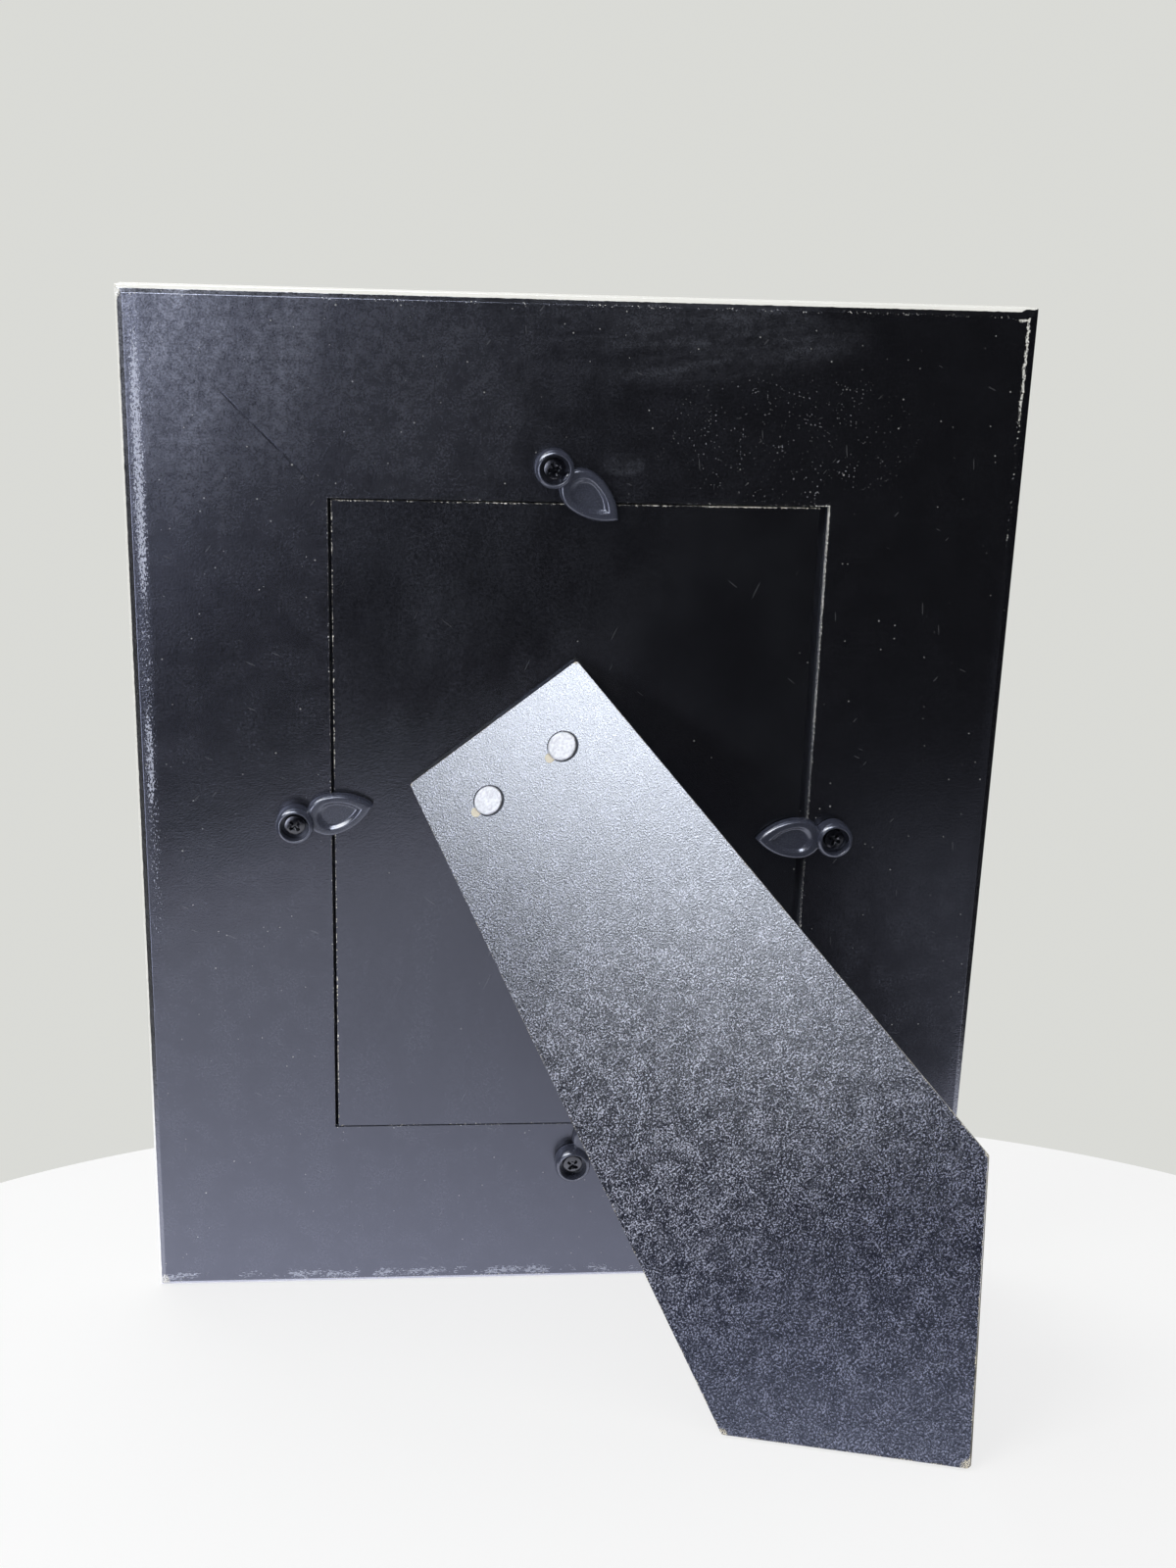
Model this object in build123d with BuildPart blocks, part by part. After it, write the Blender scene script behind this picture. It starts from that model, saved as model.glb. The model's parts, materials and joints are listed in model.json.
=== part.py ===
from build123d import *
import os
from math import cos, radians, sin, tan

# Photo frame for a 5 x 7 inch print, standing in portrait on its easel strut.
# The frame stands with +Z up and its front towards -Y. Lengths are in mm and angles in degrees.
# Left and right are as seen from the back, where the fittings are.

# Print, glass and backing board, stacked in the rebate
print_width = 127.0
print_height = 178.0
print_thickness = 0.25
glass_thickness = 2.0
board_thickness = 3.0
board_recess = 0.2
board_gap_left = 0.9
board_gap_right = 2.5
board_gap_top = 0.5
seat_gap = 0.3

# Moulding of the four rails
rebate_side_room = 2.0
rebate_end_room = 1.0
rail_back_width = 51.6
lip_width = 6.0
frame_depth = 15.0
back_bevel = 2.0
arris_radius = 0.5
front_radius = 2.5
sight_bevel_width = 3.5
sight_bevel_depth = 5.0
lean = 16.2

# Nails across the mitres
nail_wing = 7.0
nail_thickness = 0.8
nail_height = 8.0
nail_set = 1.5
nail_clearance = 0.05
nail_place_shares = (0.35, 0.7)

# Turn buttons: how far each screw stands outside the rebate and along its rail, and its lobe's turn
button_setback_top = 8.9
button_setback_bottom = 11.4
button_setback_left = 9.6
button_setback_right = 7.1
button_along_top = -7.5
button_along_bottom = 2.7
button_along_left = 2.4
button_along_right = -1.6
button_turn_top = -37.6
button_turn_bottom = 52.0
button_turn_left = 14.2
button_turn_right = 181.6
button_lift = 0.25
boss_diameter = 10.2
boss_height = 5.2
boss_rim_chamfer = 0.5
counterbore_diameter = 7.7
counterbore_floor = 1.6
lobe_reach = 21.6
lobe_width = 11.4
lobe_thickness = 2.9
lobe_widest_share = 0.445
lobe_root_share = 0.14
lobe_root_width_share = 0.4
dish_rim = 1.0
dish_tip_rim = 1.5
dish_root_rim = 1.2
dish_depth = 0.9
dish_slope = 45.0

# Screws of the turn buttons
screw_diameter = 3.0
screw_length = 10.0
screw_head_diameter = 5.7
screw_head_height = 1.9
screw_head_gap = 0.15
screw_bore_clearance = 0.2
pilot_clearance = 0.05
cross_length = 3.2
cross_width = 0.8
cross_depth = 1.0

# Hinge: its middle stands off the middle of the opening, and its pin slants up to the right
hinge_across = -17.6
hinge_rise = 24.9
hinge_slant = 38.1
open_angle = 41.0
leaf_width = 36.0
leaf_length = 18.0
leaf_thickness = 0.8
leaf_corner_radius = 3.0
pin_diameter = 2.2
pin_clearance = 0.1
pin_head_diameter = 3.4
pin_head_thickness = 0.5
knuckle_relief = 0.3
knuckle_end_gap = 0.25
middle_knuckle_share = 0.4

# Rivets of both leaves
rivet_spacing = 24.4
rivet_drop = 11.8
rivet_head_diameter = 8.0
rivet_head_thickness = 0.8
rivet_head_sink = 0.4
rivet_head_clearance = 0.3
rivet_diameter = 4.0
rivet_hole_clearance = 0.1
rivet_tail_diameter = 6.0
rivet_tail_height = 0.9

# Easel strut, cut to stand the frame upright and on its right side
strut_top_width = 56.0
strut_thickness = 2.5
strut_flare = 5.1
strut_corner_radius = 0.8
stop_clearance = 0.15
side_lean = 14.4

# Sizes that follow from those above
opening_width = print_width + 2 * rebate_side_room
opening_height = print_height + 2 * rebate_end_room
frame_width = opening_width + 2 * rail_back_width
frame_height = opening_height + 2 * rail_back_width
rebate_depth = board_recess + board_thickness + print_thickness + glass_thickness
rail_width = rail_back_width + lip_width
board_width = opening_width - board_gap_left - board_gap_right
board_height = opening_height - board_gap_top - seat_gap
knuckle_bore = pin_diameter / 2 + pin_clearance
knuckle_radius = knuckle_bore + leaf_thickness
hinge_seat = knuckle_radius + knuckle_relief
lean_sine = sin(radians(lean))
lean_cosine = cos(radians(lean))
open_sine = sin(radians(open_angle))
open_cosine = cos(radians(open_angle))
screw_seat = button_lift + counterbore_floor + screw_head_gap
screw_bite = screw_length - screw_seat
strut_heel = (hinge_seat + hinge_seat * open_cosine - stop_clearance) / open_sine

# Places in the frame's own axes: x to the right, y up the back from its lower edge, z out of the back.
# The pin's x runs down to the left along the hinge, and the strut's y runs down the strut.
hinge_place = Location(
    (hinge_across, frame_height / 2 + hinge_rise, -board_recess), (0, 0, 180 + hinge_slant)
)
pin_place = hinge_place * Location((0, 0, hinge_seat))
strut_place = pin_place * Location((0, 0, 0), (open_angle, 0, 0))
rivet_points = [(-rivet_spacing / 2, rivet_drop), (rivet_spacing / 2, rivet_drop)]


def floor_line(point, normal):
    """The line a x + b y = c where a floor meets the strut's underside, in the strut's own axes."""
    underside = Plane(strut_place).offset(hinge_seat)
    reach = (Vector(point) - underside.origin).dot(Vector(normal))
    return underside.x_dir.dot(Vector(normal)), underside.y_dir.dot(Vector(normal)), reach


def meeting_point(first, second):
    """The point where two lines of the form a x + b y = c cross."""
    spread = first[0] * second[1] - first[1] * second[0]
    across = (first[2] * second[1] - first[1] * second[2]) / spread
    down = (first[0] * second[2] - first[2] * second[0]) / spread
    return across, down


# Outline of the strut: straight flared sides, and a foot edge for each way that the frame stands
flare = tan(radians(strut_flare))
side_reach = strut_top_width / 2 + strut_heel * flare
left_side = (1, -flare, side_reach)
right_side = (-1, -flare, side_reach)
upright_floor = floor_line((0, 0, -back_bevel), (0, lean_cosine, -lean_sine))
sideways_floor = floor_line(
    (frame_width / 2, 0, -back_bevel), (-cos(radians(side_lean)), 0, -sin(radians(side_lean)))
)
strut_outline = [
    (strut_top_width / 2, -strut_heel),
    (-strut_top_width / 2, -strut_heel),
    meeting_point(right_side, sideways_floor),
    meeting_point(sideways_floor, upright_floor),
    meeting_point(left_side, upright_floor),
]

# The frame stands on the lower edge of its back bevel, midway between its front and the strut's foot
bevel_rounding = arris_radius * (lean_cosine + tan(radians(45 / 2)) * lean_sine - 1)
rear_height = -back_bevel * lean_sine - bevel_rounding
front_reach = front_radius * (1 - lean_sine) + (frame_depth - front_radius) * lean_cosine
strut_face = Plane(strut_place).offset(hinge_seat + strut_thickness)
foot_points = [strut_face.from_local_coords(point) for point in strut_outline]
foot_reach = max(point.Y * lean_sine + point.Z * lean_cosine for point in foot_points)
rear = Plane(
    origin=(0, (front_reach - foot_reach) / 2, rear_height),
    x_dir=(-1, 0, 0),
    z_dir=(0, lean_cosine, -lean_sine),
)
pin_plane = Plane(rear.location * pin_place)
strut_plane = Plane(rear.location * strut_place)
board_back = rear.offset(-board_recess)
board_front = board_back.offset(-board_thickness)

# Each side of the frame: middle of its outer edge, turn of its rail, length of its rail
sides = {
    "bottom": ((0, 0), 0, frame_width),
    "right": ((frame_width / 2, frame_height / 2), 90, frame_height),
    "top": ((0, frame_height), 180, frame_width),
    "left": ((-frame_width / 2, frame_height / 2), 270, frame_height),
}

# Each turn button's screw on the back, and the direction of its lobe
opening_top = frame_height - rail_back_width
buttons = {
    "bottom": ((button_along_bottom, rail_back_width - button_setback_bottom), button_turn_bottom),
    "right": (
        (opening_width / 2 + button_setback_right, frame_height / 2 + button_along_right),
        button_turn_right,
    ),
    "top": ((button_along_top, opening_top + button_setback_top), button_turn_top),
    "left": (
        (-opening_width / 2 - button_setback_left, frame_height / 2 + button_along_left),
        button_turn_left,
    ),
}

# The nails stand on the mitre lines, at each corner turned the same way round
corners = [
    Location((-frame_width / 2, 0, 0), (0, 0, 0)),
    Location((frame_width / 2, 0, 0), (0, 0, 90)),
    Location((frame_width / 2, frame_height, 0), (0, 0, 180)),
    Location((-frame_width / 2, frame_height, 0), (0, 0, 270)),
]
nail_places = [
    corner * Location((share * rail_back_width, share * rail_back_width, 0))
    for corner in corners
    for share in nail_place_shares
]

os.makedirs("parts", exist_ok=True)


def write(piece, name):
    """Label a finished piece and write it to its own STEP file."""
    piece.part.label = name
    export_step(piece.part, f"parts/{name}.step")


# Section of the moulding: x runs in from the outer side, y towards the back face at 0
with BuildSketch() as moulding:
    with BuildLine():
        Polyline(
            (back_bevel, 0),
            (rail_back_width, 0),
            (rail_back_width, -rebate_depth),
            (rail_width, -rebate_depth),
            (rail_width, sight_bevel_depth - frame_depth),
            (rail_width - sight_bevel_width, -frame_depth),
            (0, -frame_depth),
            (0, -back_bevel),
            close=True,
        )
    make_face()
    outer_points = moulding.vertices().group_by(Axis.X)[0].sort_by(Axis.Y)
    back_points = moulding.vertices().group_by(Axis.Y)[-1].sort_by(Axis.X)
    fillet([outer_points[-1], back_points[0]], radius=arris_radius)
    front_point = moulding.vertices().group_by(Axis.Y)[0].sort_by(Axis.X)[0]
    fillet(front_point, radius=front_radius)

# An L of bent strip, its heel on the mitre and a wing in each rail
with BuildSketch() as nail:
    Rectangle(nail_wing, nail_thickness, align=Align.MAX)
    Rectangle(nail_thickness, nail_wing, align=Align.MAX)

with BuildSketch() as nail_slot:
    add(nail.sketch)
    offset(amount=nail_clearance, kind=Kind.INTERSECTION)


def build_rail(name):
    """One mitred length of the moulding, with its screw's pilot hole and the slots of its nails."""
    middle, turn, length = sides[name]
    run = Plane(rear.location * Location((*middle, 0), (0, 0, turn)))
    with BuildPart() as rail:
        with BuildSketch(Plane(origin=run.origin, x_dir=run.y_dir, z_dir=run.x_dir)):
            add(moulding.sketch)
        extrude(amount=length / 2, both=True)
        for end in (-1, 1):
            corner = run.from_local_coords((end * length / 2, 0, 0))
            mitre = Plane(origin=corner, x_dir=run.z_dir, z_dir=run.x_dir * end + run.y_dir)
            split(bisect_by=mitre, keep=Keep.BOTTOM)
        with BuildSketch(rear.offset(nail_clearance - nail_set)):
            with Locations(*nail_places):
                add(nail_slot.sketch)
        extrude(amount=-nail_height - 2 * nail_clearance, mode=Mode.SUBTRACT)
        with BuildSketch(rear):
            with Locations(buttons[name][0]):
                Circle(screw_diameter / 2 + pilot_clearance)
        extrude(amount=-screw_bite - pilot_clearance, mode=Mode.SUBTRACT)
    write(rail, f"rail_{name}")


for side in sides:
    build_rail(side)

# Mitre nails, two at each corner
with BuildPart() as nails:
    with BuildSketch(rear.offset(-nail_set)):
        with Locations(*nail_places):
            add(nail.sketch)
    extrude(amount=-nail_height)
write(nails, "mitre_nails")

# Glass on the lip, standing in the foot of the rebate
sheet_middle = (0, rail_back_width + seat_gap + print_height / 2)
with BuildPart() as glass:
    with BuildSketch(rear.offset(-rebate_depth)):
        with Locations(sheet_middle):
            Rectangle(print_width, print_height)
    extrude(amount=glass_thickness)
write(glass, "glass_pane")

# Print between the glass and the backing board
with BuildPart() as photo:
    with BuildSketch(board_front):
        with Locations(sheet_middle):
            Rectangle(print_width, print_height)
    extrude(amount=-print_thickness)
write(photo, "photo_print")

# Backing board, with the hinge's rivet heads let into its front
board_middle = (
    (board_gap_left - board_gap_right) / 2,
    rail_back_width + seat_gap + board_height / 2,
)
hinge_front = Plane(rear.location * hinge_place).offset(-board_thickness)
with BuildPart() as board:
    with BuildSketch(board_front):
        with Locations(board_middle):
            Rectangle(board_width, board_height)
    extrude(amount=board_thickness)
    with BuildSketch(hinge_front):
        with Locations(*rivet_points):
            Circle(rivet_head_diameter / 2 + rivet_head_clearance)
    extrude(amount=rivet_head_thickness, mode=Mode.SUBTRACT)
    with BuildSketch(hinge_front):
        with Locations(*rivet_points):
            Circle(rivet_diameter / 2 + rivet_hole_clearance)
    extrude(amount=board_thickness, mode=Mode.SUBTRACT)
write(board, "backing_board")


# Outline of a lobe: a leaf along x of two arcs a side, which meet where it is widest
with BuildSketch() as lobe:
    with BuildLine():
        widest = (lobe_reach * lobe_widest_share, lobe_width / 2)
        root = (lobe_reach * lobe_root_share, lobe_width / 2 * lobe_root_width_share)
        TangentArc(widest, (lobe_reach, 0), tangent=(1, 0))
        TangentArc(widest, root, tangent=(-1, 0))
        mirror(about=Plane.XZ)
        Line(root, (root[0], -root[1]))
    make_face()

# Outline of the dish in it: half round towards the boss, pointed towards the tip
with BuildSketch() as dish:
    with BuildLine():
        half_width = lobe_width / 2 - dish_rim
        dish_root = boss_diameter / 2 + dish_root_rim
        widest = (dish_root + half_width, half_width)
        TangentArc(widest, (lobe_reach - dish_tip_rim, 0), tangent=(1, 0))
        TangentArc(widest, (dish_root, 0), tangent=(-1, 0))
        mirror(about=Plane.XZ)
    make_face()

# Section of a turn button's boss: x runs out from the screw's axis, y up from the underside
with BuildSketch() as boss:
    Rectangle(boss_diameter / 2, boss_height, align=Align.MIN)
    chamfer(boss.vertices().group_by(Axis.Y)[-1].sort_by(Axis.X)[-1], length=boss_rim_chamfer)


def build_turn_button(name):
    """A boss round the screw, and a leaf-shaped lobe with a dished top to turn it by."""
    spot, turn = buttons[name]
    foot = Plane(rear.location * Location((*spot, button_lift), (0, 0, turn)))
    with BuildPart() as button:
        with BuildSketch(foot):
            add(lobe.sketch)
        extrude(amount=lobe_thickness)
        with BuildSketch(foot.offset(lobe_thickness)):
            add(dish.sketch)
        extrude(amount=-dish_depth, taper=dish_slope, mode=Mode.SUBTRACT)
        with BuildSketch(Plane(origin=foot.origin, x_dir=foot.x_dir, z_dir=-foot.y_dir)):
            add(boss.sketch)
        revolve(axis=Axis(foot.origin, foot.z_dir))
        with Locations(foot.offset(boss_height)):
            CounterBoreHole(
                radius=screw_diameter / 2 + screw_bore_clearance,
                counter_bore_radius=counterbore_diameter / 2,
                counter_bore_depth=boss_height - counterbore_floor,
                depth=boss_height,
            )
    write(button, f"turn_button_{name}")


for side in buttons:
    build_turn_button(side)

# Screws that the turn buttons swivel on, with a cross recess in each head
with BuildPart() as screws:
    for spot, turn in buttons.values():
        seat = Plane(rear.location * Location((*spot, screw_seat), (0, 0, turn)))
        with BuildSketch(seat):
            Circle(screw_head_diameter / 2)
        extrude(amount=screw_head_height)
        with BuildSketch(seat):
            Circle(screw_diameter / 2)
        extrude(amount=-screw_length)
        with BuildSketch(seat.offset(screw_head_height)):
            Rectangle(cross_length, cross_width)
            Rectangle(cross_width, cross_length)
        extrude(amount=-cross_depth, mode=Mode.SUBTRACT)
write(screws, "turn_button_screws")

# Knuckles along the pin, as the middle and length of each: one on the board's leaf, two on the strut's
middle_knuckle = leaf_width * middle_knuckle_share
outer_knuckle = (leaf_width - middle_knuckle) / 2 - knuckle_end_gap
outer_middle = (leaf_width - outer_knuckle) / 2
board_knuckles = [(0, middle_knuckle)]
strut_knuckles = [(-outer_middle, outer_knuckle), (outer_middle, outer_knuckle)]


def across_pin(start):
    """The plane square to the pin, at a distance along it."""
    origin = pin_plane.from_local_coords((start, 0, 0))
    return Plane(origin=origin, x_dir=pin_plane.y_dir, z_dir=pin_plane.x_dir)


def build_hinge_leaf(name, face, inward, knuckles):
    """A steel plate rolled round the pin at its knuckles, and notched clear of the other leaf's."""
    notch = knuckle_radius + knuckle_relief
    with BuildPart() as leaf:
        with BuildSketch(face) as plate:
            with Locations((0, notch)):
                Rectangle(leaf_width, leaf_length - notch, align=(Align.CENTER, Align.MIN))
            fillet(plate.vertices().group_by(Axis.Y)[-1], radius=leaf_corner_radius)
            for middle, length in knuckles:
                with Locations((middle, 0)):
                    Rectangle(length, notch, align=(Align.CENTER, Align.MIN))
            with Locations(*rivet_points):
                Circle(rivet_diameter / 2 + rivet_hole_clearance, mode=Mode.SUBTRACT)
        extrude(amount=inward * leaf_thickness)
        for middle, length in knuckles:
            with BuildSketch(across_pin(middle - length / 2)):
                Circle(knuckle_radius)
                Circle(knuckle_bore, mode=Mode.SUBTRACT)
            extrude(amount=length)
    write(leaf, name)


build_hinge_leaf("hinge_board_leaf", pin_plane.offset(-hinge_seat), 1, board_knuckles)
build_hinge_leaf("hinge_strut_leaf", strut_plane.offset(hinge_seat), -1, strut_knuckles)

# Hinge pin with a peened head at each end
with BuildPart() as pin:
    pin_end = leaf_width / 2 + knuckle_end_gap
    with BuildSketch(across_pin(-pin_end)):
        Circle(pin_diameter / 2)
    extrude(amount=2 * pin_end)
    with BuildSketch(across_pin(-pin_end), across_pin(pin_end + pin_head_thickness)):
        Circle(pin_head_diameter / 2)
    extrude(amount=-pin_head_thickness)
write(pin, "hinge_pin")


def build_rivets(name, seat, outward, grip):
    """A pair of flat-headed rivets: the head lies outward of its seat, the tail beyond the grip."""
    with BuildPart() as rivets:
        with BuildSketch(seat):
            with Locations(*rivet_points):
                Circle(rivet_head_diameter / 2)
        extrude(amount=outward * rivet_head_thickness)
        with BuildSketch(seat):
            with Locations(*rivet_points):
                Circle(rivet_diameter / 2)
        extrude(amount=-outward * grip)
        with BuildSketch(seat.offset(-outward * grip)):
            with Locations(*rivet_points):
                Circle(rivet_tail_diameter / 2)
        extrude(amount=-outward * rivet_tail_height)
    write(rivets, name)


# Rivets of the board's leaf, flush with the front of the board, and of the strut's leaf
board_grip = board_thickness - rivet_head_thickness + leaf_thickness
build_rivets("board_rivets", hinge_front.offset(rivet_head_thickness), -1, board_grip)
strut_grip = strut_thickness - rivet_head_sink + leaf_thickness
strut_outside = strut_plane.offset(hinge_seat + strut_thickness)
build_rivets("strut_rivets", strut_outside.offset(-rivet_head_sink), 1, strut_grip)

# Easel strut, with its rivet heads let into its outer face
with BuildPart() as strut:
    with BuildSketch(strut_plane.offset(hinge_seat)) as sheet:
        with BuildLine():
            Polyline(*strut_outline, close=True)
        make_face()
        fillet(sheet.vertices(), radius=strut_corner_radius)
        with Locations(*rivet_points):
            Circle(rivet_diameter / 2 + rivet_hole_clearance, mode=Mode.SUBTRACT)
    extrude(amount=strut_thickness)
    with BuildSketch(strut_outside):
        with Locations(*rivet_points):
            Circle(rivet_head_diameter / 2 + rivet_head_clearance)
    extrude(amount=-rivet_head_sink, mode=Mode.SUBTRACT)
write(strut, "easel_strut")
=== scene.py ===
import bpy
import json
import numpy as np
from mathutils import Matrix, Vector


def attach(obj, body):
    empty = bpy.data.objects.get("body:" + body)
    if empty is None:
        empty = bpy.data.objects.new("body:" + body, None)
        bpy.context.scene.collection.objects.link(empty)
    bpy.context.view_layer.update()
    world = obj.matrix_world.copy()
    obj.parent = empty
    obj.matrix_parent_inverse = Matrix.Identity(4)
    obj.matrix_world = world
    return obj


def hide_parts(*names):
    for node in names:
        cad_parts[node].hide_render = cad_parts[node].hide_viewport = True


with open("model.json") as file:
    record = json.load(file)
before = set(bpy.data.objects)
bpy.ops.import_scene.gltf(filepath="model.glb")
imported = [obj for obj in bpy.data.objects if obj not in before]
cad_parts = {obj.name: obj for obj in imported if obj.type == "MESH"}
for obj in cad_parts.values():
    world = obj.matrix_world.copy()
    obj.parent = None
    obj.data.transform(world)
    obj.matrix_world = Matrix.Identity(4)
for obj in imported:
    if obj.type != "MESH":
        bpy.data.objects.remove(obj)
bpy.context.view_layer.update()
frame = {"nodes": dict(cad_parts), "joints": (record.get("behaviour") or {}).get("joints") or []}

# Rails
# Four mitred lengths of a wide wood fibre moulding, joined and then painted as one frame.
# The front and the sides are white lacquer; the back and its bevel are satin black, brushed on by hand,
# worn through to the pale ground along the edges.
frame_width = 234.2
frame_height = 283.2
opening_width = 131.0
opening_height = 180.0
bevel_width = 2.0
paint_black = (0.005, 0.005, 0.0056, 1)
# Pale bluish tone of dust, partly a painted reflection
dust_and_reflection_tone = (0.15, 0.158, 0.21, 1)
paint_ior = 1.9
paint_level = 0.5
paint_tint = (0.85, 0.88, 1.0, 1)
paint_relief = 0.000028
lean = np.radians(16.2)
rear_x = Vector((-1, 0, 0))
rear_y = Vector((0, np.sin(lean), np.cos(lean)))
rear_z = Vector((0, np.cos(lean), -np.sin(lean)))
rear_origin = Vector((0, -0.068529, -0.000596))
rear_axes = (rear_origin, rear_x, rear_y, rear_z)


def new_material(name):
    """An empty node tree with one Principled shader, which is returned with it."""
    made = bpy.data.materials.new(name)
    made.use_nodes = True
    return made, made.node_tree, made.node_tree.nodes["Principled BSDF"]


def add_node(tree, kind, inputs, **settings):
    """One shader node with its settings, each input set to a value or linked to a socket."""
    made = tree.nodes.new("ShaderNode" + kind)
    for name, value in settings.items():
        setattr(made, name, value)
    for name, value in inputs.items():
        if isinstance(value, bpy.types.NodeSocket):
            tree.links.new(value, made.inputs[name])
        else:
            made.inputs[name].default_value = value
    return made


def calc(tree, operation, first, second=0.0):
    """The result of one sum on two numbers or sockets."""
    return add_node(tree, "Math", {0: first, 1: second}, operation=operation).outputs[0]


def rise(tree, value, low, high):
    """0 where the value is at low, 1 at high, and a smooth step between them."""
    inputs = {"Value": value, "From Min": low, "From Max": high}
    return add_node(tree, "MapRange", inputs, interpolation_type="SMOOTHSTEP").outputs[0]


def fall(tree, value, low, high):
    """1 where the value is at low, 0 at high, and a smooth step between them."""
    return calc(tree, "SUBTRACT", 1.0, rise(tree, value, low, high))


def plus(tree, base, value, share):
    """A base with a share of another value added to it."""
    return calc(tree, "ADD", base, calc(tree, "MULTIPLY", value, share))


def minus(tree, base, value, share):
    """A base with a share of another value taken off it."""
    return calc(tree, "SUBTRACT", base, calc(tree, "MULTIPLY", value, share))


def blend_colour(tree, share, under, over):
    """The under colour where share is 0 and the over colour where it is 1."""
    made = add_node(tree, "Mix", {0: share, 6: under, 7: over}, data_type="RGBA")
    return made.outputs[2]


def object_place(tree):
    """Object coordinates, in metres."""
    return add_node(tree, "TexCoord", {}).outputs["Object"]


def parts(tree, vector):
    """The three coordinates of a vector."""
    return tuple(add_node(tree, "SeparateXYZ", {0: vector}).outputs)


def local_axes(tree, origin, x_axis, y_axis, z_axis):
    """Object coordinates turned into millimetres along a piece's own axes."""
    turn = Matrix((x_axis, y_axis, z_axis))
    inputs = {
        "Vector": object_place(tree),
        "Location": turn @ origin * -1000,
        "Rotation": turn.to_euler("XYZ"),
        "Scale": (1000, 1000, 1000),
    }
    return add_node(tree, "Mapping", inputs).outputs[0]


def stretched(tree, local, scale, turn=0.0):
    """Local axes turned in the plane of the back and scaled per axis, for marks that run one way."""
    inputs = {"Vector": local, "Rotation": (0, 0, np.radians(turn))}
    turned = add_node(tree, "Mapping", inputs).outputs[0]
    return add_node(tree, "Mapping", {"Vector": turned, "Scale": scale}).outputs[0]


def noise(tree, vector, scale, detail=2.0, roughness=0.5):
    """Soft random tone from 0 to 1, with scale features to the millimetre."""
    inputs = {"Vector": vector, "Scale": scale, "Detail": detail, "Roughness": roughness}
    return add_node(tree, "TexNoise", inputs).outputs[0]


def specks(tree, local, scale, share, size):
    """Small round specks: in a given share of the cells, a dot of that size about the cell's point."""
    inputs = {"Vector": local, "Scale": scale}
    cells = add_node(tree, "TexVoronoi", inputs, voronoi_dimensions="3D")
    tone = add_node(tree, "SeparateColor", {0: cells.outputs["Color"]})
    chosen = calc(tree, "LESS_THAN", tone.outputs[0], share)
    reach = product(tree, tone.outputs[1], size)
    dot = calc(tree, "LESS_THAN", cells.outputs["Distance"], reach)
    return product(tree, chosen, dot)


def marks(tree, local, turn, length, width, share):
    """Short scuffs at one angle: specks on axes drawn out along it, in a given share of their cells."""
    largest = 0.3
    usual = 0.16
    drawn = stretched(tree, local, (usual / length, usual / width, usual / width), turn)
    return specks(tree, drawn, 1.0, share, largest)


def worn_line(tree, distance, reach, chance, grain):
    """Paint rubbed off grain by grain: all of it on the line where the chance is 1, none beyond reach."""
    softness = 0.12
    near = fall(tree, distance, 0.0, reach)
    left = minus(tree, 1.0, near, chance)
    return rise(tree, calc(tree, "SUBTRACT", grain, left), 0.0, softness)


def patch(tree, x, y, middle, reach):
    """1 at the middle of an ellipse on the back, falling to 0 at its edge."""
    across = calc(tree, "DIVIDE", calc(tree, "SUBTRACT", x, middle[0]), reach[0])
    upward = calc(tree, "DIVIDE", calc(tree, "SUBTRACT", y, middle[1]), reach[1])
    squares = calc(tree, "ADD", calc(tree, "POWER", across, 2.0), calc(tree, "POWER", upward, 2.0))
    return fall(tree, squares, 0.3, 1.0)


def most(tree, *shares):
    """The largest of several shares."""
    result = shares[0]
    for share in shares[1:]:
        result = calc(tree, "MAXIMUM", result, share)
    return result


def product(tree, *shares):
    """Several shares multiplied together."""
    result = shares[0]
    for share in shares[1:]:
        result = calc(tree, "MULTIPLY", result, share)
    return result


def finish_surface(tree, shader, colour, roughness, height, distance):
    """Links a colour, a roughness and a bump to the shader. A height of 1 stands out by the distance, in
    metres."""
    bump = add_node(tree, "Bump", {"Height": height, "Distance": distance, "Strength": 1.0})
    tree.links.new(colour, shader.inputs["Base Color"])
    tree.links.new(roughness, shader.inputs["Roughness"])
    tree.links.new(bump.outputs[0], shader.inputs["Normal"])


def set_gloss(shader, ior, level, tint=(1, 1, 1, 1)):
    """Sets how strongly a surface mirrors what is in front of it, and in what tint."""
    shader.inputs["IOR"].default_value = ior
    shader.inputs["Specular IOR Level"].default_value = level
    shader.inputs["Specular Tint"].default_value = tint


def cover(material, *names):
    """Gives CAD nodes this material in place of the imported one."""
    for name in names:
        frame["nodes"][name].data.materials.clear()
        frame["nodes"][name].data.materials.append(material)


rail_paint, tree, shader = new_material("rail_paint")
local = local_axes(tree, *rear_axes)
x, y, z = parts(tree, local)

# Distances in plan: from the outer edge, from the rebate's edge and from the mitre lines
from_side = calc(tree, "SUBTRACT", frame_width / 2, calc(tree, "ABSOLUTE", x))
off_middle = calc(tree, "ABSOLUTE", calc(tree, "SUBTRACT", y, frame_height / 2))
from_end = calc(tree, "SUBTRACT", frame_height / 2, off_middle)
from_outside = calc(tree, "MINIMUM", from_side, from_end)
past_side = calc(tree, "SUBTRACT", calc(tree, "ABSOLUTE", x), opening_width / 2)
past_end = calc(tree, "SUBTRACT", off_middle, opening_height / 2)
from_rebate = calc(tree, "MAXIMUM", past_side, past_end)
from_mitre = calc(tree, "ABSOLUTE", calc(tree, "SUBTRACT", from_side, from_end))

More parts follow.
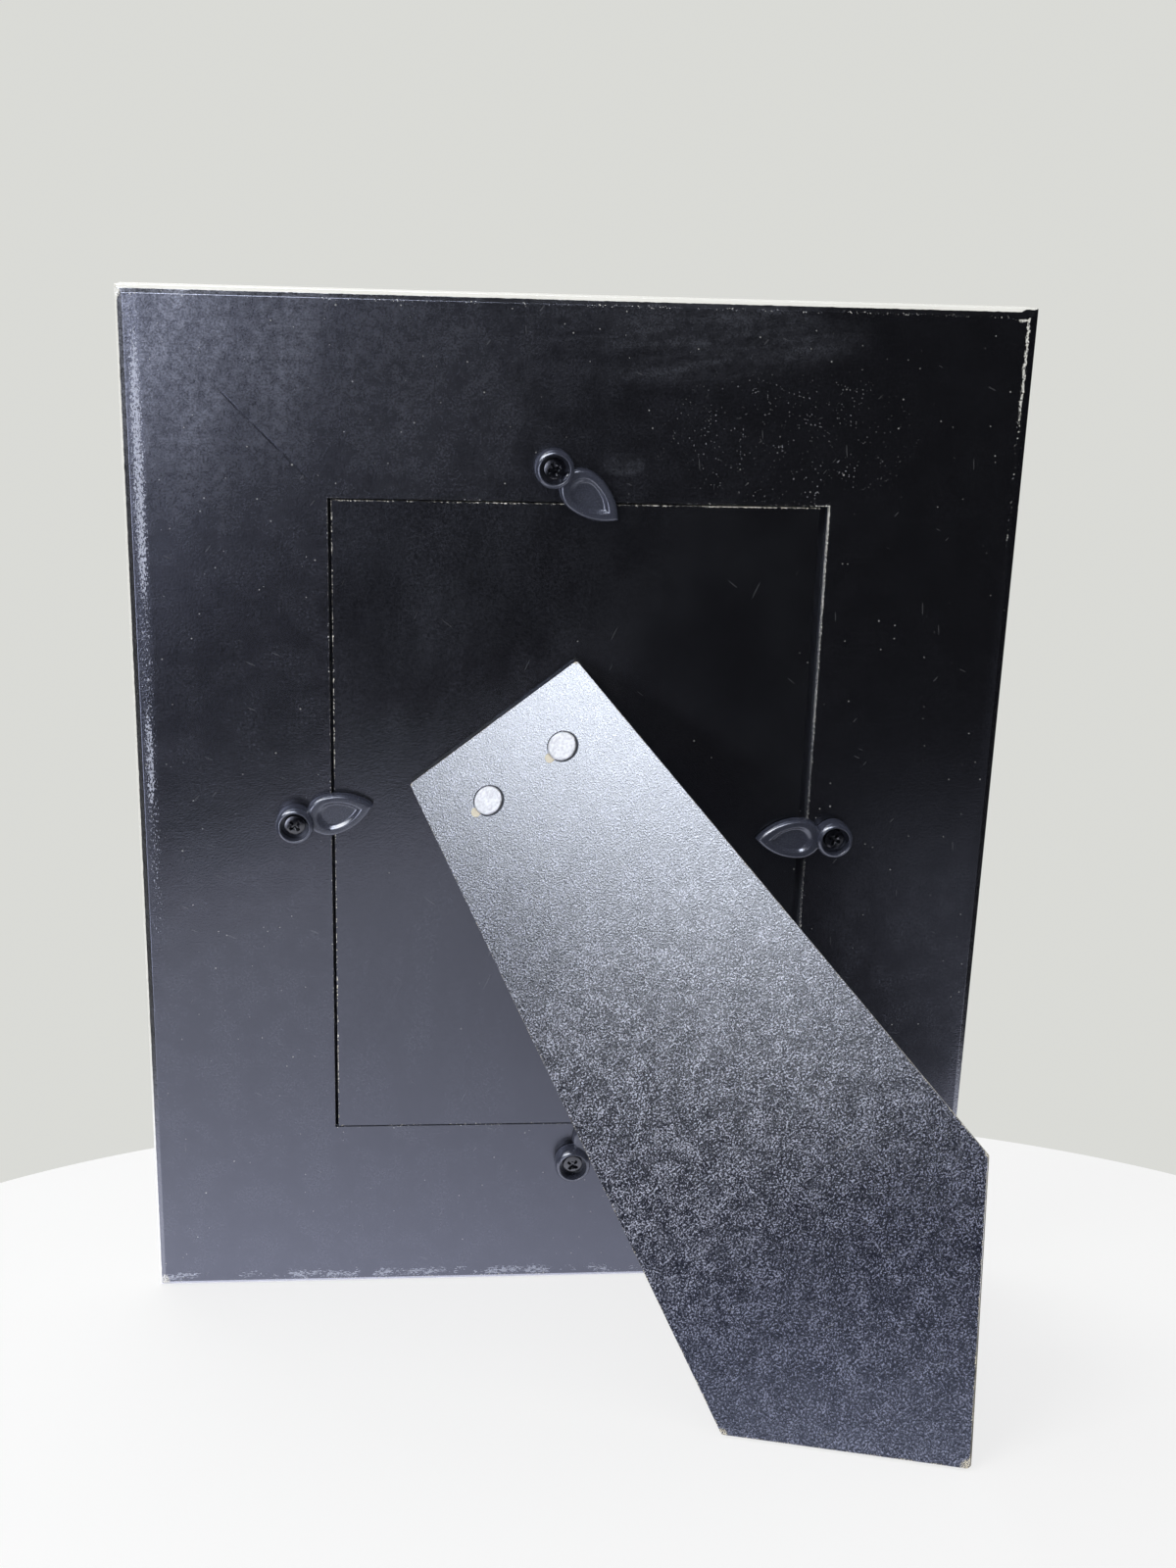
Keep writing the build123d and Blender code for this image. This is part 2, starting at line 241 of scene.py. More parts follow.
# White below a hand-brushed border on the bevel, ragged on the right, except inside the rebate
broad = noise(tree, local, 0.04, 3.0)
fine = noise(tree, local, 0.45, 3.0, 0.6)
grit = noise(tree, local, 1.8, 3.0, 0.7)
grain = rise(tree, grit, 0.4, 0.68)
streak = noise(tree, local, 0.12, 3.0, 0.6)
ragged = plus(tree, 0.35, rise(tree, x, 112.0, 115.0), 1.5)
border = product(tree, calc(tree, "SUBTRACT", fine, 0.5), ragged)
border = plus(tree, border, rise(tree, y, 279.0, 281.0), 0.25)
border = minus(tree, border, rise(tree, x, 112.0, 115.0), 0.9)
white_part = rise(tree, calc(tree, "SUBTRACT", calc(tree, "SUBTRACT", border, 1.35), z), -0.06, 0.06)
outside_rebate = calc(tree, "GREATER_THAN", from_rebate, 0.05)
below_rebate = calc(tree, "LESS_THAN", z, -5.6)
white_part = product(tree, white_part, most(tree, outside_rebate, below_rebate))

# Bare ground: a broken line on the bevel's arris, whole at the upper right, and hairlines along the rebate
wander = product(tree, calc(tree, "SUBTRACT", noise(tree, local, 0.3, 3.0, 0.6), 0.5), 1.6)
wander = product(tree, wander, rise(tree, x, 108.0, 112.0))
arris = calc(tree, "SUBTRACT", from_outside, bevel_width + 0.1)
arris = minus(tree, arris, rise(tree, x, 108.0, 112.0), 0.8)
arris = calc(tree, "ABSOLUTE", calc(tree, "SUBTRACT", arris, wander))
right_worn = product(tree, rise(tree, x, 110.0, 113.0), rise(tree, y, 245.0, 262.0))
right_faint = product(tree, rise(tree, x, 110.0, 113.0), rise(tree, y, 205.0, 235.0), 0.4)
low_worn = product(tree, fall(tree, y, 5.0, 22.0), 0.5)
top_worn = product(tree, rise(tree, y, 270.0, 280.0), 0.3)
rubbed = most(tree, right_faint, low_worn, top_worn)
chance = product(tree, rise(tree, streak, 0.35, 0.7), rubbed)
chance = most(tree, chance, right_worn)
widened = minus(tree, arris, right_worn, 0.1)
arris_wear = worn_line(tree, widened, 0.55, chance, grain)
right_edge = plus(tree, 0.35, rise(tree, y, 150.0, 215.0), 0.4)
right_edge = product(tree, rise(tree, x, 55.0, 64.0), right_edge)
left_edge = product(tree, fall(tree, x, -66.0, -64.0), 0.2)
chance = product(tree, rise(tree, streak, 0.4, 0.7), 0.35)
chance = calc(tree, "ADD", chance, most(tree, right_edge, left_edge))
rebate_wear = worn_line(tree, from_rebate, 0.4, chance, grain)
corner_chip = most(
    tree,
    patch(tree, x, y, (-115.2, 2.0), (1.3, 2.6)),
    patch(tree, x, y, (-116.4, 281.4), (1.1, 1.4)),
)
corner_chip = product(tree, corner_chip, rise(tree, grit, 0.4, 0.5))
wear = most(tree, arris_wear, rebate_wear, corner_chip)
wear = product(tree, wear, calc(tree, "GREATER_THAN", z, -2.2))

# Painted highlight: spindles of pale grains inside the left arris, for the shine of its rolled edge; and a
# rubbed, broken band inside the lower one
drawn = noise(tree, stretched(tree, local, (2.2, 1.1, 1.0)), 1.0, 3.0, 0.75)
left_band = calc(tree, "ABSOLUTE", calc(tree, "ADD", x, frame_width / 2 - 4.3))
highlight_share = most(
    tree,
    product(tree, patch(tree, x, y, (-112.6, 238.0), (2.6, 42.0)), 0.8),
    product(tree, patch(tree, x, y, (-113.4, 161.0), (1.6, 17.0)), 0.7),
    product(tree, rise(tree, y, 90.0, 140.0), 0.25),
)
left_edge_highlight = worn_line(tree, left_band, 2.4, highlight_share, rise(tree, drawn, 0.35, 0.68))
drawn = noise(tree, stretched(tree, local, (0.7, 2.4, 1.0)), 1.0, 2.0, 0.7)
low_band = calc(tree, "ABSOLUTE", calc(tree, "SUBTRACT", y, 3.6))
low_share = product(tree, rise(tree, streak, 0.42, 0.6), 0.7)
low_rub = worn_line(tree, low_band, 2.2, low_share, rise(tree, drawn, 0.3, 0.7))
# The painted highlight on the left together with the rubbed band at the bottom
rub = most(tree, left_edge_highlight, low_rub)

# Dust in the paint, scuffs, a patch of old residue, and dull rubbing towards the left; the dust and the
# rubbing are partly a painted reflection
dust = most(tree, specks(tree, local, 0.35, 0.06, 0.1), specks(tree, local, 0.9, 0.05, 0.2))
scuffs = most(
    tree,
    marks(tree, local, 24.0, 0.8, 0.12, 0.012),
    marks(tree, local, -52.0, 0.6, 0.12, 0.012),
    marks(tree, local, 84.0, 1.0, 0.1, 0.008),
)
residue = patch(tree, x, y, (53.0, 249.0), (38.0, 21.0))
crumbs = most(
    tree,
    specks(tree, local, 1.5, 0.22, 0.26),
    specks(tree, local, 2.2, 0.2, 0.34),
    marks(tree, local, -42.0, 0.5, 0.1, 0.05),
)
clumps = rise(tree, noise(tree, local, 0.14, 4.0, 0.65), 0.4, 0.62)
residue = product(tree, residue, crumbs, clumps)
smears = noise(tree, stretched(tree, local, (0.09, 0.03, 0.09), 12.0), 1.0, 4.0, 0.65)
wiped = noise(tree, stretched(tree, local, (0.02, 0.1, 0.1), -6.0), 1.0, 4.0, 0.65)
# Partly painted reflection: a pale haze that grows towards the upper left
left_haze_and_reflection = fall(tree, x, -122.0, 0.0)
left_haze_and_reflection = calc(tree, "POWER", product(tree, left_haze_and_reflection, rise(tree, y, 180.0, 290.0)), 2.0)
thin_haze = fall(tree, x, -50.0, 12.0)
thin_haze = product(tree, thin_haze, rise(tree, y, 212.0, 262.0), 0.14)
top_haze = product(tree, patch(tree, x, y, (22.0, 275.0), (55.0, 15.0)), 0.17)
button_smudge = product(tree, patch(tree, x, y, (11.0, 241.5), (6.5, 3.5)), 0.15)
mottle = plus(tree, product(tree, fine, 0.6), grit, 0.7)
mottle = calc(tree, "ADD", 0.15, rise(tree, mottle, 0.45, 0.9))
smeared = plus(tree, 0.45, rise(tree, smears, 0.3, 0.75), 0.75)
smeared = product(tree, smeared, most(tree, left_haze_and_reflection, thin_haze))
wiped = product(tree, rise(tree, wiped, 0.3, 0.7), most(tree, top_haze, button_smudge))
dull_and_reflection = product(tree, most(tree, smeared, wiped), mottle)
dapple = rise(tree, noise(tree, local, 1.5, 4.0, 0.7), 0.3, 0.8)
# Partly painted reflection: the dust's pale tone is spread most to the left, the bottom and the lower right
dust_and_reflection = minus(tree, 1.0, rise(tree, x, -50.0, 90.0), 0.85)
low_dust_and_reflection = minus(tree, 1.0, rise(tree, y, 70.0, 170.0), 0.25)
low_right_reflection = fall(tree, y, 100.0, 160.0)
low_right_reflection = product(tree, low_right_reflection, rise(tree, x, 66.0, 80.0), 0.75)
clouded = plus(tree, 0.55, rise(tree, streak, 0.35, 0.65), 0.9)
dust_and_reflection = product(tree, calc(tree, "ADD", dust_and_reflection, low_right_reflection), low_dust_and_reflection, clouded, dapple)
crease = fall(tree, from_mitre, 0.15, 0.6)
crease = product(tree, crease, calc(tree, "GREATER_THAN", from_outside, bevel_width))
upper_left = patch(tree, x, y, (-82.0, 249.0), (22.0, 22.0))
crease = product(tree, crease, rise(tree, streak, 0.35, 0.6), upper_left)

# Colours: black paint with its marks, painted reflection and highlight, pale ground where it is worn off,
# and white brushed along each rail
black = blend_colour(tree, dull_and_reflection, paint_black, (0.26, 0.275, 0.345, 1))
black = blend_colour(tree, product(tree, dust_and_reflection, 0.22), black, dust_and_reflection_tone)
black = blend_colour(tree, product(tree, rub, 0.8), black, (0.46, 0.48, 0.57, 1))
black = blend_colour(tree, product(tree, scuffs, 0.2), black, (0.2, 0.205, 0.22, 1))
black = blend_colour(tree, product(tree, residue, 0.6), black, (0.42, 0.42, 0.44, 1))
black = blend_colour(tree, product(tree, dust, 0.6), black, (0.5, 0.5, 0.5, 1))
black = blend_colour(tree, product(tree, crease, 0.9), black, (0.003, 0.003, 0.004, 1))
ground = blend_colour(tree, fine, (0.66, 0.63, 0.55, 1), (0.8, 0.79, 0.75, 1))
black = blend_colour(tree, wear, black, ground)
upright = noise(tree, stretched(tree, local, (0.9, 0.05, 0.9)), 1.0, 3.0)
sideways = noise(tree, stretched(tree, local, (0.05, 0.9, 0.9)), 1.0, 3.0)
end_rail = calc(tree, "GREATER_THAN", from_side, from_end)
brush = product(tree, calc(tree, "SUBTRACT", sideways, upright), end_rail)
brush = calc(tree, "ADD", upright, brush)
white = blend_colour(tree, rise(tree, brush, 0.35, 0.65), (0.82, 0.815, 0.79, 1), (0.87, 0.865, 0.84, 1))
seam = product(tree, fall(tree, from_mitre, 0.1, 0.4), 0.4)
white = blend_colour(tree, seam, white, (0.55, 0.54, 0.5, 1))
stain = product(tree, rise(tree, broad, 0.5, 0.75), 0.3)
white = blend_colour(tree, stain, white, (0.77, 0.76, 0.73, 1))
white = blend_colour(tree, product(tree, dust, 0.3), white, (0.4, 0.38, 0.34, 1))
colour = blend_colour(tree, white_part, black, white)

# Roughness, dullest in the rebate, and relief, with the paint rolled over at the outer edge
roughness = plus(tree, 0.15, broad, 0.08)
roughness = plus(tree, roughness, dull_and_reflection, 0.1)
roughness = most(tree, roughness, product(tree, most(tree, wear, residue, rub), 0.6))
in_rebate = calc(tree, "SUBTRACT", 1.0, most(tree, outside_rebate, calc(tree, "GREATER_THAN", z, -0.1)))
roughness = most(tree, roughness, product(tree, in_rebate, 0.9))
height = plus(tree, product(tree, grit, 1.5), fine, 0.8)
height = minus(tree, height, most(tree, crease, wear), 1.5)
rolled = fall(tree, from_side, 1.5, 6.5)
rolled = product(tree, rolled, calc(tree, "ADD", streak, drawn))
height = minus(tree, height, rolled, 4.0)
height = calc(tree, "ADD", height, product(tree, brush, white_part, 1.5))
set_gloss(shader, paint_ior, paint_level, paint_tint)
finish_surface(tree, shader, colour, roughness, height, paint_relief)
cover(rail_paint, "rail_top", "rail_bottom", "rail_left", "rail_right")

# Mitre nails
# Bent steel strips pressed across each mitre under the paint.
# They are out of sight; the steel has the fine rolling marks of strip.
strip_steel, tree, shader = new_material("strip_steel")
local = local_axes(tree, *rear_axes)
rolling = noise(tree, stretched(tree, local, (0.1, 4.0, 4.0)), 1.0, 3.0)
colour = blend_colour(tree, rolling, (0.42, 0.42, 0.42, 1), (0.62, 0.62, 0.61, 1))
roughness = plus(tree, 0.28, rolling, 0.2)
shader.inputs["Metallic"].default_value = 1.0
finish_surface(tree, shader, colour, roughness, rolling, 0.00001)
cover(strip_steel, "mitre_nails")

# Glass pane
# Clear float glass with a trace of green, cut square and laid on the lip of the moulding.
# The print and the backing board hold it there. A faint bloom dulls it in places.
float_glass, tree, shader = new_material("float_glass")
local = local_axes(tree, *rear_axes)
bloom = noise(tree, local, 0.05, 3.0)
colour = blend_colour(tree, bloom, (0.93, 0.97, 0.95, 1), (0.97, 0.99, 0.98, 1))
roughness = product(tree, rise(tree, bloom, 0.45, 0.8), 0.05)
shader.inputs["Transmission Weight"].default_value = 1.0
shader.inputs["IOR"].default_value = 1.5
finish_surface(tree, shader, colour, roughness, bloom, 0.000002)
cover(float_glass, "glass_pane")

# Print
# A plain insert of satin photo paper with no picture, with painted shade darkening it towards its edges.
# The backing board presses it against the glass.
print_paper, tree, shader = new_material("print_paper")
local = local_axes(tree, *rear_axes)
x, y, z = parts(tree, local)
# Painted shade: the print is darker towards its edges
unshaded_centre = patch(tree, x, y, (0.0, 142.0), (90.0, 125.0))
fibre = noise(tree, local, 1.4, 4.0)
colour = blend_colour(tree, unshaded_centre, (0.66, 0.66, 0.64, 1), (0.84, 0.83, 0.8, 1))
colour = blend_colour(tree, product(tree, fibre, 0.12), colour, (0.6, 0.59, 0.56, 1))
roughness = plus(tree, 0.38, fibre, 0.12)
finish_surface(tree, shader, colour, roughness, fibre, 0.00001)
cover(print_paper, "photo_print")

# Backing board
# Hardboard with a smooth satin black face, cut square, its arrises worn to the cream core.
# It lies loose in the rebate, nearer its left side, under the tips of the turn buttons.
board_width = 127.6
board_height = 179.2
board_middle = (-0.8, 141.5)
board_paint, tree, shader = new_material("board_paint")
local = local_axes(tree, *rear_axes)
x, y, z = parts(tree, local)
in_side = calc(tree, "ABSOLUTE", calc(tree, "SUBTRACT", x, board_middle[0]))
in_end = calc(tree, "ABSOLUTE", calc(tree, "SUBTRACT", y, board_middle[1]))
from_side = calc(tree, "SUBTRACT", board_width / 2, in_side)
from_end = calc(tree, "SUBTRACT", board_height / 2, in_end)
from_edge = calc(tree, "MINIMUM", from_side, from_end)
broad = noise(tree, local, 0.04, 3.0)
fine = noise(tree, local, 0.4, 3.0, 0.6)
grit = noise(tree, local, 1.9, 3.0, 0.7)
grain = rise(tree, grit, 0.4, 0.68)
streak = noise(tree, local, 0.1, 3.0, 0.6)
cloud = noise(tree, stretched(tree, local, (0.08, 0.03, 0.08), 8.0), 1.0, 4.0, 0.65)
left_worn = product(tree, fall(tree, x, -64.0, -62.0), 0.42)
top_worn = product(tree, rise(tree, y, 229.5, 230.9), 0.4)
chance = calc(tree, "SUBTRACT", 0.5, rise(tree, x, 40.0, 62.0))
chance = product(tree, rise(tree, streak, 0.35, 0.7), chance)
corner_worn = product(tree, patch(tree, x, y, (48.0, 231.0), (18.0, 1.6)), 0.85)
chance = calc(tree, "ADD", chance, most(tree, left_worn, top_worn, corner_worn))
wear = worn_line(tree, from_edge, 0.45, chance, grain)
core = calc(tree, "LESS_THAN", z, -0.55)
core = product(tree, core, rise(tree, fine, 0.4, 0.6))
dust = specks(tree, local, 0.4, 0.06, 0.11)
scuffs = most(
    tree,
    marks(tree, local, 38.0, 1.2, 0.1, 0.012),
    marks(tree, local, -66.0, 1.4, 0.1, 0.012),
)
cloudy = rise(tree, broad, 0.35, 0.7)
black = blend_colour(tree, cloudy, paint_black, (0.008, 0.0084, 0.0095, 1))
dapple = rise(tree, noise(tree, local, 1.5, 4.0, 0.7), 0.3, 0.8)
# Partly painted reflection: the dust's pale tone is spread most to the left and the bottom
dust_and_reflection = minus(tree, 1.0, rise(tree, x, -40.0, 50.0), 0.95)
low_dust_and_reflection = minus(tree, 1.0, rise(tree, y, 70.0, 170.0), 0.3)
clouded = calc(tree, "ADD", 0.4, rise(tree, cloud, 0.3, 0.7))
dust_and_reflection = product(tree, dust_and_reflection, low_dust_and_reflection, clouded, dapple)
black = blend_colour(tree, product(tree, dust_and_reflection, 0.2), black, dust_and_reflection_tone)
black = blend_colour(tree, product(tree, scuffs, 0.2), black, (0.18, 0.185, 0.2, 1))
black = blend_colour(tree, product(tree, dust, 0.4), black, (0.45, 0.45, 0.45, 1))
hardboard = blend_colour(tree, fine, (0.58, 0.53, 0.44, 1), (0.75, 0.72, 0.64, 1))
colour = blend_colour(tree, most(tree, wear, product(tree, core, 0.3)), black, hardboard)
roughness = plus(tree, 0.15, broad, 0.08)
roughness = most(tree, roughness, product(tree, most(tree, wear, core), 0.6))
height = plus(tree, product(tree, grit, 1.3), fine, 0.5)
height = minus(tree, height, wear, 1.2)
set_gloss(shader, paint_ior, paint_level, paint_tint)
finish_surface(tree, shader, colour, roughness, height, paint_relief)
cover(board_paint, "backing_board")

# Turn buttons
# Four moulded plastic buttons, each a boss round its screw with a leaf-shaped lobe to turn it by.
# The lobe has a raised, rounded rim and a shallow dish; the boss stands higher and is counterbored.
button_turns = {"top": -37.6, "bottom": 52.0, "left": 14.2, "right": 181.6}
button_lift = 0.25
lobe_root = 2.6
lobe_reach = 21.6
lobe_half = 5.7
lobe_widest = 9.6
lobe_thickness = 2.9
dish_half = 4.0
dish_root = 5.7
dish_tip = 18.7
dish_depth = 0.9
dish_wall = 0.34
rim_round = 1.5
lobe_middle = 12.0
boss_section = (
    (1.7, 0.0), (5.1, 0.0), (5.1, 0.3), (5.08, 3.55), (5.05, 3.85), (4.98, 4.13), (4.88, 4.38), (4.76, 4.6),
    (4.62, 4.79), (4.47, 4.94), (4.32, 5.06), (4.17, 5.14), (4.05, 5.18), (3.97, 5.17), (3.9, 5.11),
    (3.86, 5.02), (3.85, 4.9), (3.85, 1.6), (1.7, 1.6),
)


def mesh_piece(name, corners, faces, smooth_angle=35.0):
    """A mesh object at the origin from corners in metres and faces given as index lists."""
    mesh = bpy.data.meshes.new(name)
    mesh.from_pydata(corners.reshape(-1, 3).tolist(), [], faces)
    mesh.validate()
    mesh.shade_smooth()
    mesh.set_sharp_from_angle(angle=np.radians(smooth_angle))
    piece = bpy.data.objects.new(name, mesh)
    bpy.context.scene.collection.objects.link(piece)
    return piece


def grid_faces(rows, columns, first, close_rows=False):
    """Quads of a grid that is closed along its columns, and along its rows too if asked."""
    row = np.arange(rows if close_rows else rows - 1)[:, None]
    column = np.arange(columns)[None, :]
    after = (column + 1) % columns
    below = (row + 1) % rows
    here = row * columns
    there = below * columns
    quads = (here + column, here + after, there + after, there + column)
    return (np.stack(quads, -1).reshape(-1, 4) + first).tolist()


def arc_radius(run, rise_by):
    """Radius of an arc that starts level and falls by rise_by over a run."""
    return (run ** 2 + rise_by ** 2) / (2 * rise_by)


def leaf_reach(angles, root, widest, half, tip):
    """Distance from the lobe's middle to a leaf outline at each angle: an arc from its widest point to the
    tip, and another to its root, the same on both sides."""
    spread = np.linspace(0, 1, 400)
    outer = arc_radius(tip - widest, half)
    inner = arc_radius(widest - root, half)
    outer_end = np.arctan2(tip - widest, outer - half)
    inner_end = np.arctan2(widest - root, inner - half)
    along = np.concatenate([
        widest + outer * np.sin(outer_end * (1 - spread)),
        widest - inner * np.sin(inner_end * spread),
    ])
    across = np.concatenate([
        half - outer * (1 - np.cos(outer_end * (1 - spread))),
        half - inner * (1 - np.cos(inner_end * spread)),
    ])
    bearing = np.arctan2(across, along - lobe_middle)
    distance = np.hypot(across, along - lobe_middle)
    return np.interp(np.abs(angles), bearing, distance)


def lobe_surface():
    """Rings round the lobe: each is the leaf outline drawn in by a share towards the dish's outline and then
    towards the middle, at a height that climbs the side, rounds the rim and sinks into the dish."""
    angles = np.pi * np.linspace(-1, 1, 241)[:-1]
    angles = np.sign(angles) * np.abs(angles / np.pi) ** 1.35 * np.pi
    leaf = leaf_reach(angles, lobe_root, lobe_widest, lobe_half, lobe_reach)
    dish = leaf_reach(angles, dish_root, dish_root + dish_half, dish_half, dish_tip)
    side = np.linspace(0, np.pi / 2, 13)
    rim_in = 0.04 + 0.46 * (1 - np.cos(side))
    rim_up = lobe_thickness - rim_round * (1 - np.sin(side))
    sink = np.linspace(0, 1, 34)[1:] ** 1.5
    draw_in = np.concatenate([[1.0, 0.5, 0.0, 0.02], rim_in, [0.7, 0.9], np.ones(33)])
    shrink = np.concatenate([[0.0, 0.5, 1.0, 1.0], np.ones(15), 1 - sink * 0.999])
    sunk = dish_depth * (1 - np.cos(np.clip(sink / dish_wall, 0, 1) * np.pi)) / 2
    height = np.concatenate([[0, 0, 0, 0.35], rim_up, [lobe_thickness] * 2, lobe_thickness - sunk])
    drawn = leaf[None] + (dish - leaf)[None] * draw_in[:, None]
    drawn[:3] = leaf[None] * shrink[:3, None]
    drawn[3:] = drawn[3:] * shrink[3:, None]
    points = np.empty((*drawn.shape, 3))
    points[..., 0] = lobe_middle + drawn * np.cos(angles)[None]
    points[..., 1] = drawn * np.sin(angles)[None]
    points[..., 2] = height[:, None]
    return points


def lathe(section, turns):
    """A section of radius and height carried round an axis."""
    radius, height = np.array(section, float).T
    angles = np.linspace(0, 2 * np.pi, turns, endpoint=False)
    points = np.empty((len(radius), turns, 3))
    points[..., 0] = radius[:, None] * np.cos(angles)
    points[..., 1] = radius[:, None] * np.sin(angles)
    points[..., 2] = height[:, None]
    return points


def on_back(points, spot, turn, lift):
    """Millimetres about a spot on the back, turned in its plane, to metres in the shared frame."""
    ahead = rear_x * np.cos(np.radians(turn)) + rear_y * np.sin(np.radians(turn))
    beside = rear_z.cross(ahead)
    turned = np.array((ahead, beside, rear_z))
    raised = points + np.array((0, 0, lift))
    return np.array(spot) + raised @ turned / 1000


button_plastic, tree, shader = new_material("button_plastic")
local = local_axes(tree, *rear_axes)
cloud = noise(tree, local, 0.25, 3.0)
mould = noise(tree, local, 3.5, 3.0, 0.6)
rub = specks(tree, local, 1.6, 0.1, 0.25)
colour = blend_colour(tree, cloud, (0.026, 0.029, 0.046, 1), (0.038, 0.042, 0.063, 1))
colour = blend_colour(tree, rise(tree, mould, 0.4, 0.8), colour, (0.075, 0.082, 0.118, 1))
colour = blend_colour(tree, product(tree, rub, 0.4), colour, (0.26, 0.26, 0.28, 1))
roughness = plus(tree, 0.17, cloud, 0.1)
set_gloss(shader, 1.8, 0.5, (0.95, 0.97, 1.0, 1))
finish_surface(tree, shader, colour, roughness, mould, 0.00002)

joint_spots = {joint["name"]: joint["pos_m"] for joint in frame["joints"]}
lobe = lobe_surface()
boss = lathe(boss_section, 96)
for side_name, turn in button_turns.items():
    spot = joint_spots["button_" + side_name + "_swivel"]
    corners = np.concatenate([lobe.reshape(-1, 3), boss.reshape(-1, 3)])
    faces = grid_faces(lobe.shape[0], lobe.shape[1], 0)
    faces += grid_faces(boss.shape[0], boss.shape[1], lobe.shape[0] * lobe.shape[1], close_rows=True)
    button = mesh_piece("button_" + side_name, on_back(corners, spot, turn, button_lift), faces)
    button.data.materials.append(button_plastic)
    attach(button, "button_" + side_name)
    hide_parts("turn_button_" + side_name)

# Turn button screws
# Small blackened steel pan-head screws with a cross recess, driven into the rails until the buttons
# just turn under their heads. Each recess was left at whatever angle the driver stopped.
screw_turns = {"top": 20.0, "bottom": 52.0, "left": 40.0, "right": 66.0}
screw_seat = 2.0
screw_shank = 1.5
screw_head = 2.85
screw_crown = 1.9
screw_length = 8.0
slot_half = 0.5
slot_reach = 1.75
slot_depth = 1.15


def screw_surface():
    """A head as rings about its axis: a shallow crown, a rounded rim and a shank below, with the height cut
    down inside a cross of two tapering slots."""
    angles = np.linspace(0, 2 * np.pi, 192, endpoint=False)
    top = np.linspace(0.0, 0.93, 56)
    rim = np.linspace(0, np.pi / 2, 8)
    radius = np.concatenate([[0.0, 1.0, 1.0], 1 - 0.07 * (1 - np.cos(rim)), top[::-1]])
    reach = np.concatenate([[0.02, screw_shank, screw_shank], screw_head * radius[3:]])
    crown = screw_crown - 0.35 * np.clip(radius, 0, 1) ** 2.4
    crown[3:11] = 0.1 + (crown[11] - 0.1) * np.sin(rim)
    crown[:3] = (-screw_length, -screw_length, 0.05)
    across = reach[:, None] * np.cos(angles)
    upward = reach[:, None] * np.sin(angles)
    arm = np.minimum(np.abs(across), np.abs(upward))
    run = np.maximum(np.abs(across), np.abs(upward))
    slot = np.clip((slot_half - arm) / 0.28, 0, 1) * np.clip((slot_reach - run) / 0.45, 0, 1)
    bowl = np.clip((1.25 - reach[:, None]) / 0.9, 0, 1) * 0.55
    slot = np.maximum(slot, bowl)
    slot[:11] = 0
    return np.stack([across, upward, crown[:, None] - slot_depth * slot], -1)


screw_black, tree, shader = new_material("screw_black")
local = local_axes(tree, *rear_axes)
scuff = noise(tree, local, 2.0, 4.0, 0.65)
colour = blend_colour(tree, rise(tree, scuff, 0.5, 0.75), (0.004, 0.0045, 0.007, 1), (0.02, 0.022, 0.031, 1))
roughness = plus(tree, 0.06, scuff, 0.14)
set_gloss(shader, 1.75, 0.6)
finish_surface(tree, shader, colour, roughness, scuff, 0.00002)

head = screw_surface()
corners = []
faces = []
for side_name, turn in screw_turns.items():
    faces += grid_faces(head.shape[0], head.shape[1], len(corners) * head.shape[0] * head.shape[1])
    spot = joint_spots["button_" + side_name + "_swivel"]
    corners.append(on_back(head.reshape(-1, 3), spot, turn, screw_seat))
screws = mesh_piece("button_screws", np.concatenate(corners), faces)
screws.data.materials.append(screw_black)
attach(screws, "frame")
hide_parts("turn_button_screws")

# Hinge
# Two zinc-plated steel leaves rolled round a pin, under the top end of the strut.
# The pin slants, so the strut swings out towards one side.
zinc_plate, tree, shader = new_material("zinc_plate")
local = local_axes(tree, *rear_axes)
spangle = noise(tree, local, 0.7, 4.0, 0.6)
drawn = noise(tree, stretched(tree, local, (0.2, 3.0, 3.0), 38.0), 1.0, 3.0)
colour = blend_colour(tree, spangle, (0.5, 0.5, 0.5, 1), (0.68, 0.68, 0.67, 1))
roughness = plus(tree, 0.26, spangle, 0.22)
shader.inputs["Metallic"].default_value = 1.0
finish_surface(tree, shader, colour, roughness, drawn, 0.00001)
cover(zinc_plate, "hinge_board_leaf", "hinge_strut_leaf", "hinge_pin")

# Easel strut
# Solid board cut to a five-sided shape and covered in pebble-grained black paper, with raw cut edges.
# The cover is worn to the cream board at the corners, edges and foot and chipped beside the rivets.
# The tops of its grain on the outer face carry a painted highlight, most of all halfway down, and a painted
# shadow rings each rivet head.
fold = next(joint for joint in frame["joints"] if joint["name"] == "strut_fold")
strut_open = np.radians(41.0)
strut_seat = 2.3
strut_thickness = 2.5
strut_origin = Vector(fold["pos_m"])
strut_x = -Vector(fold["axis"])
hinge_down = rear_z.cross(strut_x)
strut_y = hinge_down * np.cos(strut_open) + rear_z * np.sin(strut_open)
strut_z = rear_z * np.cos(strut_open) - hinge_down * np.sin(strut_open)
strut_axes = (strut_origin, strut_x, strut_y, strut_z)
strut_corners = ((28.0, -5.92), (-28.0, -5.92), (-42.68, 158.56), (0.03, 211.56), (44.3, 176.74))
rivet_spots = ((-12.2, 11.8), (12.2, 11.8))

strut_paper, tree, shader = new_material("strut_paper")
local = local_axes(tree, *strut_axes)
x, y, z = parts(tree, local)


def from_outline(tree, x, y, corners):
    """Distance in from the nearest side of a convex outline whose corners run one way round."""
    inside = []
    for start, end in zip(corners, corners[1:] + corners[:1]):
        run = np.subtract(end, start)
        side = np.array((run[1], -run[0])) / np.hypot(*run)
        if np.dot(side, np.subtract(np.mean(corners, axis=0), start)) < 0:
            side = -side
        part = plus(tree, product(tree, x, side[0]), y, side[1])
        inside.append(calc(tree, "SUBTRACT", part, float(np.dot(side, start))))
    nearest = inside[0]
    for distance in inside[1:]:
        nearest = calc(tree, "MINIMUM", nearest, distance)
    return nearest


